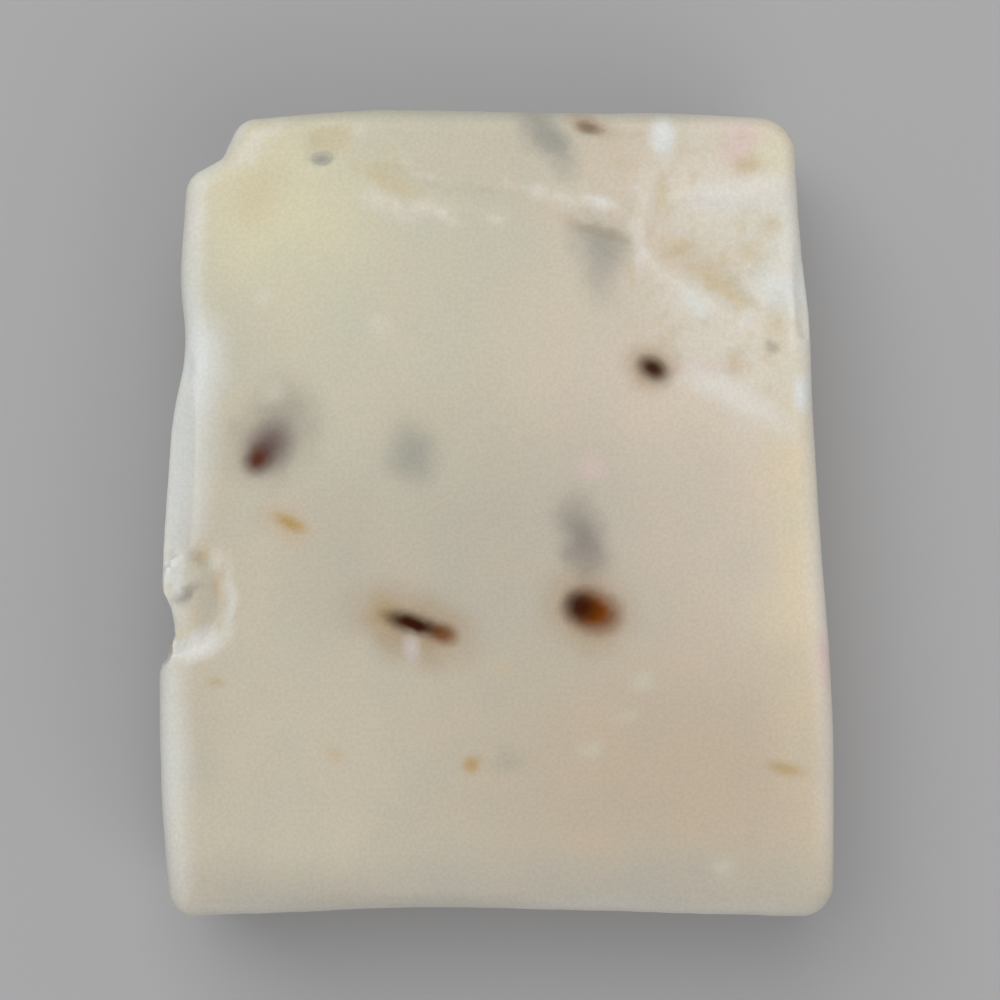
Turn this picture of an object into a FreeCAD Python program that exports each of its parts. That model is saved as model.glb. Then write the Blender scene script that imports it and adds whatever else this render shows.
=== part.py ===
import FreeCAD, Part
import math
import os
from FreeCAD import Vector

# A bar of handmade soap, lying on its back with the cut face up.
#
# The bar is one slice of a poured loaf: a block whose plan is a little wider at the foot than at
# the head, with sides that bow by about a millimetre, soft corners and rounded rims.
# It is worn and chipped. The head-left corner is broken off, a facet and a pit are knocked out of
# the left rim, and the cut face is torn into shallow hollows along the head and down the right.
# Bark, peel and petals were stirred into the soap before it set. Each bit is a piece of its own
# and fills a pocket in the bar, trimmed flush where the surface cuts it. A few lie under the face.
#
# Lengths are in millimetres. X runs from the left side to the right, Y from the foot to the head
# and Z up through the thickness, from the middle of the face that the bar rests on.

# The slice, between the corners of its straight-sided plan
LENGTH = 79.8
FOOT_WIDTH = 66.4
HEAD_WIDTH = 61.0
HEAD_LEFT_SHIFT = 1.0
THICKNESS = 24.0

# How far each side stands out from the run between its corners, at shares of that run, going
# round from the foot-left corner
FOOT_BOWS = ((0.18, -0.45), (0.36, -1.0), (0.66, -0.6), (0.84, -0.2))
RIGHT_BOWS = ((0.24, 1.1), (0.57, 0.3), (0.76, 0.45), (0.88, -0.4))
HEAD_BOWS = ((0.20, 0.75), (0.50, 0.75), (0.76, 1.25))
LEFT_BOWS = ((0.14, 0.5), (0.23, -0.45), (0.32, 1.0), (0.52, 1.65), (0.68, 1.75), (0.84, 1.3))

# The broken corner: the place of its notch from the head-left corner, and which way its two
# facets run from the notch
BREAK_IN = 3.5
BREAK_DOWN = 3.85
BREAK_HEAD_FACET = 65.0
BREAK_SIDE_FACET = 209.0

# Radii of the corners in plan and of the rim round the cut face, and the bevel round the base. A
# bow has no radius of its own: its arc takes this share of the shorter run beside it
FOOT_LEFT_CORNER = 2.6
FOOT_RIGHT_CORNER = 3.5
HEAD_RIGHT_CORNER = 4.0
BREAK_HEAD_CORNER = 2.8
BREAK_NOTCH = 1.0
BREAK_SIDE_CORNER = 3.0
BOW_REACH = 0.45
FACE_RIM = 2.4
BASE_BEVEL = 1.0

# Hollows in the cut face: across and along the plan, then length, width, depth and turn
HOLLOWS = (
    (-0.56, 0.94, 6.5, 4.0, 0.6, 60.0),
    (-0.26, 0.84, 8.5, 3.0, 0.6, -20.0),
    (-0.04, 0.80, 6.5, 2.4, 0.4, -8.0),
    (0.36, 0.91, 15.0, 6.5, 0.5, -4.0),
    (0.37, 0.71, 9.5, 4.6, 0.6, -20.0),
    (0.79, 0.90, 12.0, 7.0, 0.6, 10.0),
    (0.71, 0.73, 12.5, 7.0, 1.0, 4.0),
    (0.64, 0.64, 7.0, 5.0, 1.1, -20.0),
    (0.74, 0.57, 10.5, 3.4, 1.3, -42.0),
    (0.90, 0.47, 8.0, 3.2, 0.9, 84.0),
    (0.78, 0.39, 5.5, 4.5, 0.7, 20.0),
    (0.64, 0.45, 8.0, 4.5, 0.4, 10.0),
)

# Pieces knocked out of the rims, the same way, then how far down the side the middle lies, how
# far the scoop leans out from upright and which way it faces
RIM_CHIPS = (
    (-0.98, 0.20, 22.0, 5.6, 0.8, 92.0, 1.3, 42.0, 180.0),
    (-0.94, -0.205, 9.2, 5.6, 1.2, 84.0, 0.7, 22.0, 180.0),
    (-1.035, -0.255, 26.0, 9.0, 1.0, 0.0, 8.0, 90.0, 193.0),
    (0.98, 0.62, 11.0, 3.6, 0.6, 90.0, 0.9, 45.0, 0.0),
)

# A scoop is an egg whose middle stands this many depths above the surface it cuts, with this many
# facets round each way
SCOOP_RISE = 1.5
SCOOP_SIDES = 16

# Bits that the surface trims: node, across, along, length, width, thickness, turn, and how far
# down the middle of the bit lies
BARK = (
    ("bark_chip_right", 0.50, 0.37, 3.4, 2.3, 1.6, -28.0, 0.3),
    ("bark_chip_left", -0.72, 0.18, 5.0, 2.8, 1.8, 58.0, 0.4),
    ("bark_sliver", -0.24, -0.27, 6.6, 1.9, 1.6, -15.0, 0.3),
    ("bark_lump", 0.28, -0.22, 4.8, 4.0, 2.4, -12.0, 0.4),
    ("bark_chip_head", 0.31, 0.97, 3.2, 1.2, 1.2, -8.0, 0.7),
)
PEEL = (
    ("peel_flake", -0.65, -0.01, 3.6, 1.7, 0.8, -32.0, 0.15),
    ("peel_crumb", -0.09, -0.61, 1.9, 1.7, 1.2, 20.0, 0.2),
    ("peel_strand", 0.86, -0.62, 4.2, 0.9, 0.7, -8.0, 0.1),
    ("peel_speck", -0.86, -0.40, 1.7, 0.8, 0.7, -8.0, 0.1),
)
PALE_LUMPS = (
    ("pale_lump", 0.57, 0.95, 3.4, 2.4, 1.6, 84.0, 0.7),
    ("pale_speck", -0.27, -0.33, 1.9, 1.4, 1.0, 80.0, 0.2),
)
SEED = (
    ("seed", -0.55, 0.90, 2.6, 1.5, 1.2, 0.0, 0.6),
)

# Bark that lies wholly under the face and only shades it
SUNK_BARK = (
    ("sunk_bark_middle", -0.27, 0.16, 4.4, 3.4, 1.6, 60.0, 2.2),
    ("sunk_bark_lump", 0.25, -0.05, 5.0, 3.0, 1.6, 70.0, 2.0),
    ("sunk_bark_head", 0.20, 0.92, 4.6, 3.2, 1.4, 20.0, 2.6),
    ("sunk_bark_hollow", 0.33, 0.67, 5.4, 3.8, 1.6, -15.0, 2.8),
)

# How a bit swells from end to end, at shares of its length, and the corners that it broke to, by
# angle round its length and share of its reach
CHIP_SWELL = ((0.0, 0.42), (0.24, 0.88), (0.58, 1.0), (0.84, 0.78), (1.0, 0.36))
CHIP_CORNERS = ((8, 1.0), (62, 0.95), (128, 1.0), (176, 0.9), (245, 1.0), (304, 0.92))

# Petals, thin flakes laid into the surface: node, across, along, length, width, turn, how far
# down the middle of the flake lies, how far it leans out and which way it faces
PETALS = (
    ("petal_head", 0.79, 0.93, 4.2, 2.6, 68.0, 0.75, 18.0, 90.0),
    ("petal_middle", 0.30, 0.13, 3.0, 2.2, 15.0, 0.15, 0.0, 0.0),
    ("petal_side", 1.01, -0.35, 4.2, 3.0, 85.0, 1.0, 52.0, 0.0),
)
PETAL_THICKNESS = 0.5

# The notches between a petal's lobes, by angle and share of its reach, and how far a lobe bulges
PETAL_NOTCHES = ((0, 0.9), (58, 0.95), (140, 0.88), (205, 1.0), (290, 0.9))
LOBE_BULGE = 0.14


def middle(y):
    """X of the middle of the straight-sided plan, y up from its centre."""
    return -HEAD_LEFT_SHIFT * (y / LENGTH + 0.5)


def half_width(y):
    """Half the width of the straight-sided plan, y up from its centre."""
    return (FOOT_WIDTH + (HEAD_WIDTH - FOOT_WIDTH) * (y / LENGTH + 0.5)) / 2


def on_plan(across, along):
    """A point of the plan: across runs from -1 at the left to 1, along from -1 at the foot to 1."""
    y = along * LENGTH / 2
    return Vector(middle(y) + across * half_width(y), y, 0)


def polar(angle, reach=1.0):
    """A point at an angle, in degrees, and a reach from the origin."""
    return Vector(reach * math.cos(math.radians(angle)), reach * math.sin(math.radians(angle)), 0)


def crossing(start, angle, first, second):
    """Where the ray from start at an angle meets the line through two points."""
    ray, line, gap = polar(angle), second - first, first - start
    return start + ray * ((gap.x * line.y - gap.y * line.x) / (ray.x * line.y - ray.y * line.x))


def bowed(start, end, bows):
    """The bends between two corners, each standing out from their run at its share of it."""
    run = end - start
    outward = Vector(run.y, -run.x, 0).normalize()
    return [(start + run * share + outward * out, None) for share, out in bows]


def rounded(bends):
    """A closed wire through bends of (point, radius), of straight runs joined by tangent arcs."""
    arcs = []
    for k, (point, radius) in enumerate(bends):
        back = bends[k - 1][0] - point
        on = bends[(k + 1) % len(bends)][0] - point
        half_turn = (math.pi - back.getAngle(on)) / 2
        reach = radius * math.tan(half_turn) if radius else BOW_REACH * min(back.Length, on.Length)
        back.normalize()
        on.normalize()
        apex = point + (back + on).normalize() * (reach * math.tan(half_turn / 2))
        arcs.append(Part.Arc(point + back * reach, apex, point + on * reach))
    edges = []
    for arc, following in zip(arcs, arcs[1:] + arcs[:1]):
        edges.append(arc.toShape())
        edges.append(Part.makeLine(arc.EndPoint, following.StartPoint))
    return Part.Wire(edges)


def cut_slice():
    """The slice as cut from the loaf: bowed sides, a broken corner, soft corners and round rims."""
    foot_left, foot_right = on_plan(-1, -1), on_plan(1, -1)
    head_right, head_left = on_plan(1, 1), on_plan(-1, 1)
    notch = head_left + Vector(BREAK_IN, -BREAK_DOWN, 0)
    break_head = crossing(notch, BREAK_HEAD_FACET, head_left, head_right)
    break_side = crossing(notch, BREAK_SIDE_FACET, head_left, foot_left)
    plan = rounded(
        [(foot_left, FOOT_LEFT_CORNER)] + bowed(foot_left, foot_right, FOOT_BOWS)
        + [(foot_right, FOOT_RIGHT_CORNER)] + bowed(foot_right, head_right, RIGHT_BOWS)
        + [(head_right, HEAD_RIGHT_CORNER)] + bowed(head_right, break_head, HEAD_BOWS)
        + [(break_head, BREAK_HEAD_CORNER), (notch, BREAK_NOTCH), (break_side, BREAK_SIDE_CORNER)]
        + bowed(break_side, foot_left, LEFT_BOWS)
    )
    block = Part.Face(plan).extrude(Vector(0, 0, THICKNESS))
    face_rim = [e for e in block.Edges if e.BoundBox.ZMin > THICKNESS / 2]
    block = block.makeFillet(FACE_RIM, face_rim)
    base_rim = [e for e in block.Edges if e.BoundBox.ZMax < THICKNESS / 2]
    return block.makeChamfer(BASE_BEVEL, base_rim)


def faceted(rings):
    """A solid of flat faces through rings of points, closed by a face at the first and the last."""
    outlines = [rings[0], rings[-1]]
    for near, far in zip(rings, rings[1:]):
        for k in range(len(near)):
            outlines.append([near[k - 1], near[k], far[k], far[k - 1]])
    faces = [Part.Face(Part.makePolygon(points + points[:1])) for points in outlines]
    return Part.Solid(Part.Shell(faces))


def scoop(length, width, depth):
    """An egg of small facets that breaks a hollow of a given size out of the plane Z = 0."""
    widest = math.sqrt(1 - (SCOOP_RISE / (1 + SCOOP_RISE)) ** 2)
    reach = Vector(length / 2 / widest, width / 2 / widest, depth * (1 + SCOOP_RISE))
    half_step = 180 / SCOOP_SIDES
    rings = []
    for k in range(1, SCOOP_SIDES // 2):
        pole = polar(2 * half_step * k)
        ring = [polar(half_step * (2 * n + 1), pole.y) for n in range(SCOOP_SIDES)]
        rings.append([Vector(-pole.x * reach.x, p.x * reach.y, p.y * reach.z) for p in ring])
    egg = faceted(rings)
    egg.translate(Vector(0, 0, depth * SCOOP_RISE))
    return egg


def lay(shape, across, along, down, turn, lean=0.0, facing=0.0):
    """Turn a shape about Z, lean it out towards facing, and set it down below a point of the face."""
    origin = Vector(0, 0, 0)
    laid = shape.copy()
    laid.rotate(origin, Vector(0, 0, 1), turn)
    laid.rotate(origin, polar(facing + 90), lean)
    laid.translate(on_plan(across, along) + Vector(0, 0, THICKNESS - down))
    return laid


def wear(block):
    """Tear the hollows out of the cut face and knock the chips out of the rims."""
    for across, along, length, width, depth, turn in HOLLOWS:
        block = block.cut(lay(scoop(length, width, depth), across, along, 0, turn))
    for across, along, length, width, depth, turn, down, lean, facing in RIM_CHIPS:
        block = block.cut(lay(scoop(length, width, depth), across, along, down, turn, lean, facing))
    return block


def chip(length, width, thickness):
    """A broken bit lying along X, with flat sides that narrow from its middle to blunt ends."""
    rings = []
    for share, swell in CHIP_SWELL:
        ring = [polar(angle, reach * swell / 2) for angle, reach in CHIP_CORNERS]
        rings.append([Vector((share - 0.5) * length, p.x * width, p.y * thickness) for p in ring])
    return faceted(rings)


def petal(length, width):
    """A thin flake with round lobes, half above and half below the plane Z = 0."""
    notches = [polar(angle, reach / 2) for angle, reach in PETAL_NOTCHES]
    lobes = []
    for start, end in zip(notches, notches[1:] + notches[:1]):
        top = (start + end) * (0.5 + LOBE_BULGE)
        ends = [Vector(p.x * length, p.y * width, -PETAL_THICKNESS / 2) for p in (start, top, end)]
        lobes.append(Part.Arc(*ends).toShape())
    return Part.Face(Part.Wire(lobes)).extrude(Vector(0, 0, PETAL_THICKNESS))


def stir_in(block):
    """Set every bit into the block, trimmed by its surface, and cut the pockets that they fill."""
    bits = {}
    chips = BARK + PEEL + PALE_LUMPS + SEED + SUNK_BARK
    for node, across, along, length, width, thickness, turn, down in chips:
        bits[node] = lay(chip(length, width, thickness), across, along, down, turn).common(block)
    for node, across, along, length, width, turn, down, lean, facing in PETALS:
        bits[node] = lay(petal(length, width), across, along, down, turn, lean, facing).common(block)
    return block.cut(list(bits.values())), bits


bar, bits = stir_in(wear(cut_slice()))
box = bar.optimalBoundingBox(False)
os.makedirs("parts", exist_ok=True)
for node, shape in {"soap_bar": bar, **bits}.items():
    shape.translate(Vector(-box.Center.x, -box.Center.y, -box.ZMin))
    shape.exportStep("parts/" + node + ".step")
    print(node, len(shape.Solids), shape.isValid(), round(shape.Volume, 2))
print("size", round(box.XLength, 2), round(box.YLength, 2), round(box.ZLength, 2))
print("moved", round(-box.Center.x, 3), round(-box.Center.y, 3))
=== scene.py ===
import math

import bpy
import numpy as np
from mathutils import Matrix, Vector


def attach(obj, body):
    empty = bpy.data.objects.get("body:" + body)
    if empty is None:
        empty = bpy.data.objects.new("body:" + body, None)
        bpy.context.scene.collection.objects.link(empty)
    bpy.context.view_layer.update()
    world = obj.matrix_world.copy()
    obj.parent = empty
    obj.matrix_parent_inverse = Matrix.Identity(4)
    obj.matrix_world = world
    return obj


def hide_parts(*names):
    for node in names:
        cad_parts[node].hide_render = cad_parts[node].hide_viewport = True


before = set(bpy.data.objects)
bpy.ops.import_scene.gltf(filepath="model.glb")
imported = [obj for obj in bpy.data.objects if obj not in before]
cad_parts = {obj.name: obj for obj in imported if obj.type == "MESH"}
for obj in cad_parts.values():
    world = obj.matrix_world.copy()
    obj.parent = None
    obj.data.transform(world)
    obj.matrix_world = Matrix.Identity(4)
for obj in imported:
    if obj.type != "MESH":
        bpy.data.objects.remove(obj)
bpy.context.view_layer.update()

# The look of a worn bar of handmade soap. Its cut face is up, with bark, peel and petals in it.
#
# Lengths are in millimetres until a mesh is made, which is in metres. X runs to the right, Y from
# the foot to the head and Z up, from the middle of the underside. Shades are written as they look
# on a screen.

MM = 0.001

# The slice's plan, as in the CAD model: its size, and how far each side stands out from the run
# between its corners, at shares of that run
LENGTH = 79.8
FOOT_WIDTH = 66.4
HEAD_WIDTH = 61.0
HEAD_LEFT_SHIFT = 1.0
PLAN_PLACE = (0.53, -0.582)
FOOT_BOWS = ((0.18, -0.45), (0.36, -1.0), (0.66, -0.6), (0.84, -0.2))
RIGHT_BOWS = ((0.24, 1.1), (0.57, 0.3), (0.76, 0.45), (0.88, -0.4))
HEAD_BOWS = ((0.20, 0.75), (0.50, 0.75), (0.76, 1.25))
LEFT_BOWS = ((0.14, 0.5), (0.23, -0.45), (0.32, 1.0), (0.52, 1.65), (0.68, 1.75), (0.84, 1.3))
BREAK_IN = 3.5
BREAK_DOWN = 3.85
BREAK_HEAD_FACET = 65.0
BREAK_SIDE_FACET = 209.0
FOOT_LEFT_CORNER = 2.6
FOOT_RIGHT_CORNER = 3.5
HEAD_RIGHT_CORNER = 4.0
BREAK_HEAD_CORNER = 2.8
BREAK_NOTCH = 1.0
BREAK_SIDE_CORNER = 3.0
BOW_REACH = 0.45

# Degrees of a corner's arc to one of its points, at most
ARC_STEP = 4.0

# Heights: the face, a little under the CAD model's so that the bits in it can stand proud, the
# rim's radius and the bevel round the base
FACE = 23.82
RIM = 2.4
BEVEL = 1.1

# How far the look's skin lies inside that plain shape, how high ridges may stand over the face, how
# far down the face's wear reaches, how far up from the base the walls' wear takes to begin, and the
# height under which a point lies on the ground
SKIN = 0.06
HIGHEST = 0.15
TOP_REACH = 3.5
BASE_REACH = 1.5
TOUCH = 0.01

# Cells of the mesh across and along the face, steps along a side for each of the underside's, and
# rings down the rim, the wall and the bevel
ACROSS = 200
ALONG = 240
UNDER_STEP = 4
RIM_RINGS = 10
WALL_RINGS = 20
BEVEL_RINGS = 5

# Where the cells get closer, as a share of the way, and how much closer. The change takes a run of
# the way, and it is added up over samples.
ACROSS_CLOSER = (0.55, 0.5)
ALONG_CLOSER = (0.5, 0.7)
CLOSER_RUN = 0.2
CLOSER_SAMPLES = 401

# The underside's grid stops short of the bevel, and its points below a height wave a little
UNDER_IN = 0.6
UNDER_FROM = 0.5
UNDER_WAVE = 0.03

# Rings and spokes of a bit's mesh, how far its edge sinks into the soap, how deep its bowl is at
# the edge, how much of the bowl is smooth, and how its wrinkles are stretched
BIT_RINGS = 18
BIT_SPOKES = 56
EDGE_SINK = 0.012
EDGE_DEPTH = 0.03
BOWL_SMOOTH = 0.8
WRINKLE_STRETCH = (0.6, 1.6)

# How far over the rim a bit on the face may lie, as a share of the rim's radius, and the number of
# points that a side is looked up by
FARTHEST_OVER = 0.98
SIDE_SAMPLES = 2001

# The random block that noise runs through has this many numbers along each edge
LATTICE = 32

# Layers of noise: feature size, height and seed. A bit's own seed is added to those of its layers.
DENTS = ((9.0, 0.05, 1), (3.5, 0.025, 2), (1.2, 0.01, 3))
WALL_IN = 0.09
WALL_STRETCH = (1, 1, 2)
WALL_WAVES = ((6.0, 0.1, 4),)
WALL_GRAIN = ((1.6, 0.05, 5),)
UNDER_WAVES = ((7.0, 1.0, 6),)
SCOOP_EDGE = ((1.1, 0.1, 21), (0.45, 0.05, 22))
RIDGE_GAPS = ((0.9, 0.5, 33),)
TORN_LUMPS = ((1.5, 0.6, 41), (0.7, 0.4, 42))
MOTTLE = ((8.0, 0.8, 70), (2.6, 0.3, 71))
WARMTH = ((5.0, 0.9, 72), (1.7, 0.4, 73))
BIT_EDGE = ((0.55, 0.13, 0), (0.22, 0.06, 1))
BIT_GRAIN = ((0.5, 0.5, 2), (0.22, 0.3, 3))

# How edges wander: feature size, distance and first seed
RIDGE_WANDER = (1.3, 0.35, 31)
BROAD_WANDER = (5.0, 1.6, 61)
MARK_WANDER = (2.2, 0.55, 64)
MARK_FRINGE = (0.8, 0.25, 67)
CORE_WANDER = (0.6, 0.1, 76)
BAND_WANDER = (6.0, 0.35, 81)

# Hollows torn out of the face: X, Y, length, width, depth, turn
HOLLOWS = (
    (-17.0, 36.7, 6.5, 4.0, 0.45, 60.0),
    (-8.3, 32.8, 8.5, 3.0, 0.4, -20.0),
    (-1.6, 31.3, 6.5, 2.4, 0.3, -8.0),
    (10.8, 35.4, 15.0, 6.5, 0.35, -4.0),
    (11.2, 27.6, 9.5, 4.6, 0.4, -20.0),
    (24.2, 35.1, 11.0, 7.0, 0.35, 10.0),
    (21.9, 28.4, 12.5, 7.0, 0.6, 4.0),
    (19.6, 24.9, 7.0, 5.0, 0.6, -20.0),
    (22.8, 22.1, 10.5, 3.4, 0.75, -42.0),
    (27.8, 18.2, 8.0, 3.2, 0.45, 84.0),
    (24.1, 14.9, 5.5, 4.5, 0.4, 20.0),
    (20.0, 17.2, 8.0, 4.5, 0.3, 10.0),
    (26.6, 24.6, 5.0, 2.2, 0.35, 60.0),
    (17.4, 33.8, 5.0, 2.6, 0.3, 70.0),
)

# Pieces knocked out of the rims, the same way, then the height of the scoop's plane, how far it
# leans out from upright, which way it faces and how blunt its lip is
RIM_CHIPS = (
    (-31.5, 7.4, 22.0, 6.2, 0.32, 92.0, 22.8, 36.0, 180.0, 0.9),
    (-29.9, -8.7, 9.2, 5.6, 1.0, 84.0, 23.3, 22.0, 180.0, 0.4),
    (-33.3, -9.2, 26.0, 8.0, 1.0, 0.0, 16.0, 90.0, 193.0, 0.2),
    (30.1, 24.2, 11.0, 3.6, 0.22, 90.0, 23.1, 45.0, 0.0, 0.9),
    (-30.9, 14.6, 3.4, 2.6, 0.35, 80.0, 23.0, 40.0, 180.0, 0.8),
)
HOLLOW_LIP = 0.75

# A scoop's egg: how far its middle is over the plane, in depths of the scoop, how far round it
# points are looked at and how high up they are still moved, in half sizes of the egg, and how fast
# the lip runs out beside it
SCOOP_RISE = 1.5
SCOOP_NEAR = 1.3
SCOOP_TOP = 0.6
LIP_FALL = 2.0

# What is left of a scoop's smoothed lip, as a share of its size, at three times its size outside
LIP_END = (math.sqrt(10.0) - 3.0) / 2

# Ridges left standing round the torn patch, each a line of points (X, Y), with its width, height
# and paleness. The paleness is partly the torn soap's own whiter colour and partly a painted
# highlight where the crest catches the light.
RIDGES = (
    (((-12.3, 31.2), (-9.7, 29.8), (-7.3, 30.3), (-4.7, 29.3)), 1.6, 0.14, 0.8),
    (((-9.0, 34.5), (-6.6, 33.1)), 0.9, 0.06, 0.4),
    (((-0.3, 29.2), (0.4, 29.0)), 1.0, 0.08, 0.6),
    (((1.0, 32.8), (4.0, 31.9)), 0.9, 0.08, 0.35),
    (((4.0, 31.9), (7.0, 30.9), (9.3, 30.9), (11.6, 30.3)), 1.2, 0.15, 0.65),
    (((14.8, 33.4), (14.4, 31.0), (13.9, 28.2), (14.6, 25.7), (15.9, 23.9)), 1.5, 0.14, 0.75),
    (((17.0, 22.8), (19.6, 21.2), (20.6, 20.0)), 2.0, 0.15, 0.95),
    (((19.6, 31.4), (21.8, 31.0), (25.0, 31.6), (29.2, 32.2)), 2.4, 0.14, 0.75),
    (((25.6, 19.6), (24.4, 18.4)), 1.6, 0.14, 0.75),
    (((29.6, 28.8), (29.5, 25.5), (28.9, 22.0), (30.2, 19.5)), 2.0, 0.14, 0.75),
    (((17.8, 13.2), (22.0, 12.4), (26.6, 9.6), (29.2, 8.0)), 2.2, 0.12, 0.65),
    (((30.3, 12.9), (30.6, 10.6)), 1.7, 0.22, 0.95),
)

# How much of a ridge stands on average, the least and the most of it, and how much wider its
# paleness and painted highlight is
RIDGE_LEVEL = 0.75
RIDGE_LIMITS = (0.2, 1.2)
RIDGE_SPREAD = 1.25

# How rough the face is: torn patches as X, Y, length, width, turn and height
TORN = (
    (22.0, 24.0, 22.0, 24.0, 0.0, 0.11),
    (12.0, 33.5, 22.0, 9.0, 0.0, 0.07),
    (-9.0, 33.4, 15.0, 6.0, -18.0, 0.05),
    (-31.0, -8.0, 6.0, 14.0, 0.0, 0.12),
    (26.0, 11.5, 12.0, 8.0, -20.0, 0.06),
)

# How far from a torn patch's middle its roughness ends, in half sizes, how far its lumps are let
# down, and how soft its colour's edge is
TORN_REACH = 1.3
TORN_DOWN = 0.35
TORN_SOFT = 0.3


def lattice(seed):
    """A block of random numbers from -1 to 1 for noise to run between."""
    return np.random.default_rng(seed).uniform(-1.0, 1.0, (LATTICE, LATTICE, LATTICE))


def noise(points, size, seed):
    """Smooth noise from -1 to 1.

    Random numbers at the corners of cubes of a size are blended between them by 3t squared less
    2t cubed.
    """
    grid = lattice(seed)
    at = points / size + LATTICE / 2
    low = np.floor(at).astype(int)
    t = smooth_step(at - low)
    total = np.zeros(len(points))
    for corner in np.ndindex(2, 2, 2):
        share = np.prod(np.where(np.array(corner) == 1, t, 1.0 - t), axis=1)
        i, j, k = ((low + corner) % LATTICE).T
        total += share * grid[i, j, k]
    return total


def layered(points, layers, own_seed=0):
    """Noise of several layers added up, each of a feature size, a height and a seed."""
    return sum(height * noise(points, size, own_seed + seed) for size, height, seed in layers)


def wandering(points, size, by, seed):
    """Points moved about by noise of a size, up to a distance each way."""
    return points + by * np.column_stack([noise(points, size, seed + axis) for axis in range(3)])


def turned(angle):
    """The two axes of a frame turned by an angle in degrees."""
    c, s = math.cos(math.radians(angle)), math.sin(math.radians(angle))
    return np.array(((c, s), (-s, c)))


def smooth_step(t):
    """0 up to 0, 1 from 1, and 3t squared less 2t cubed between."""
    t = np.clip(t, 0.0, 1.0)
    return t * t * (3.0 - 2.0 * t)


def on_plan(across, along):
    """A point of the plan: across and along run from -1 to 1."""
    share = (along + 1.0) / 2.0
    half = (FOOT_WIDTH + (HEAD_WIDTH - FOOT_WIDTH) * share) / 2.0
    return np.array((across * half - HEAD_LEFT_SHIFT * share, along * LENGTH / 2.0))


def crossing(start, angle, first, second):
    """Where the ray from start at an angle meets the line through two points."""
    ray = turned(angle)[0]
    line, gap = second - first, first - start
    way = (gap[0] * line[1] - gap[1] * line[0]) / (ray[0] * line[1] - ray[1] * line[0])
    return start + ray * way


def bowed(start, end, bows):
    """The bends between two corners, each standing out from their run at its share of it."""
    run = end - start
    outward = np.array((run[1], -run[0])) / np.hypot(*run)
    return [(start + run * share + outward * out, None) for share, out in bows]


def arc_at(before, bend, after, radius):
    """The points and outward normals of the tangent arc at a bend.

    With no radius of its own, an arc takes up a share of the shorter run beside it.
    """
    back, on = before - bend, after - bend
    back_length, on_length = np.hypot(*back), np.hypot(*on)
    half_turn = (math.pi - math.acos(back @ on / back_length / on_length)) / 2.0
    if radius:
        reach = radius * math.tan(half_turn)
    else:
        reach = BOW_REACH * min(back_length, on_length)
        radius = reach / math.tan(half_turn)
    back, on = back / back_length, on / on_length
    inward = (back + on) / np.hypot(*(back + on))
    hub = bend + inward * math.hypot(reach, radius)
    convex = 1.0 if back[0] * on[1] - back[1] * on[0] < 0 else -1.0
    steps = max(2, 2 * math.ceil(half_turn / math.radians(ARC_STEP)))
    middle = math.atan2(-inward[1], -inward[0])
    angles = middle + convex * np.linspace(-half_turn, half_turn, steps + 1)
    rays = np.column_stack((np.cos(angles), np.sin(angles)))
    return hub + rays * radius, rays * convex


def outline():
    """The plan's four sides as points and outward normals.

    They are split at the middles of four corners: foot-left, foot-right, head-right and the broken
    corner's bend on the left.
    """
    foot_left, foot_right = on_plan(-1, -1), on_plan(1, -1)
    head_right, head_left = on_plan(1, 1), on_plan(-1, 1)
    notch = head_left + np.array((BREAK_IN, -BREAK_DOWN))
    break_head = crossing(notch, BREAK_HEAD_FACET, head_left, head_right)
    break_side = crossing(notch, BREAK_SIDE_FACET, head_left, foot_left)
    bends = (
        [(foot_left, FOOT_LEFT_CORNER)] + bowed(foot_left, foot_right, FOOT_BOWS)
        + [(foot_right, FOOT_RIGHT_CORNER)] + bowed(foot_right, head_right, RIGHT_BOWS)
        + [(head_right, HEAD_RIGHT_CORNER)] + bowed(head_right, break_head, HEAD_BOWS)
        + [(break_head, BREAK_HEAD_CORNER), (notch, BREAK_NOTCH), (break_side, BREAK_SIDE_CORNER)]
        + bowed(break_side, foot_left, LEFT_BOWS)
    )
    points, normals, corners = [], [], []
    for k, (bend, radius) in enumerate(bends):
        arc, rays = arc_at(bends[k - 1][0], bend, bends[(k + 1) % len(bends)][0], radius)
        if any(bend is corner for corner in (foot_left, foot_right, head_right, break_side)):
            corners.append(len(points) + len(arc) // 2)
        points.extend(arc + PLAN_PLACE)
        normals.extend(rays)
    points, normals = np.array(points), np.array(normals)
    sides = []
    for start, end in zip(corners, corners[1:] + [corners[0] + len(points)]):
        run = np.arange(start, end + 1) % len(points)
        sides.append((points[run], normals[run]))
    return sides


def spaced(side, shares):
    """A side's points and normals at shares of its length."""
    points, normals = side
    steps = np.hypot(*np.diff(points, axis=0).T)
    at = np.append(0.0, np.cumsum(steps)) / steps.sum()
    place = np.column_stack([np.interp(shares, at, points[:, k]) for k in range(2)])
    ray = np.column_stack([np.interp(shares, at, normals[:, k]) for k in range(2)])
    return place, ray / np.hypot(*ray.T)[:, None]


def patch(foot, right, head, left):
    """A grid between four sides.

    It is the blend across plus the blend along, less the blend of the four corners.
    """
    u = np.linspace(0.0, 1.0, len(foot))[:, None, None]
    v = np.linspace(0.0, 1.0, len(left))[None, :, None]
    grid = (1 - v) * foot[:, None] + v * head[:, None] + (1 - u) * left[None] + u * right[None]
    grid -= (1 - u) * (1 - v) * foot[0] + u * (1 - v) * foot[-1]
    grid -= (1 - u) * v * head[0] + u * v * head[-1]
    return grid


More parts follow.
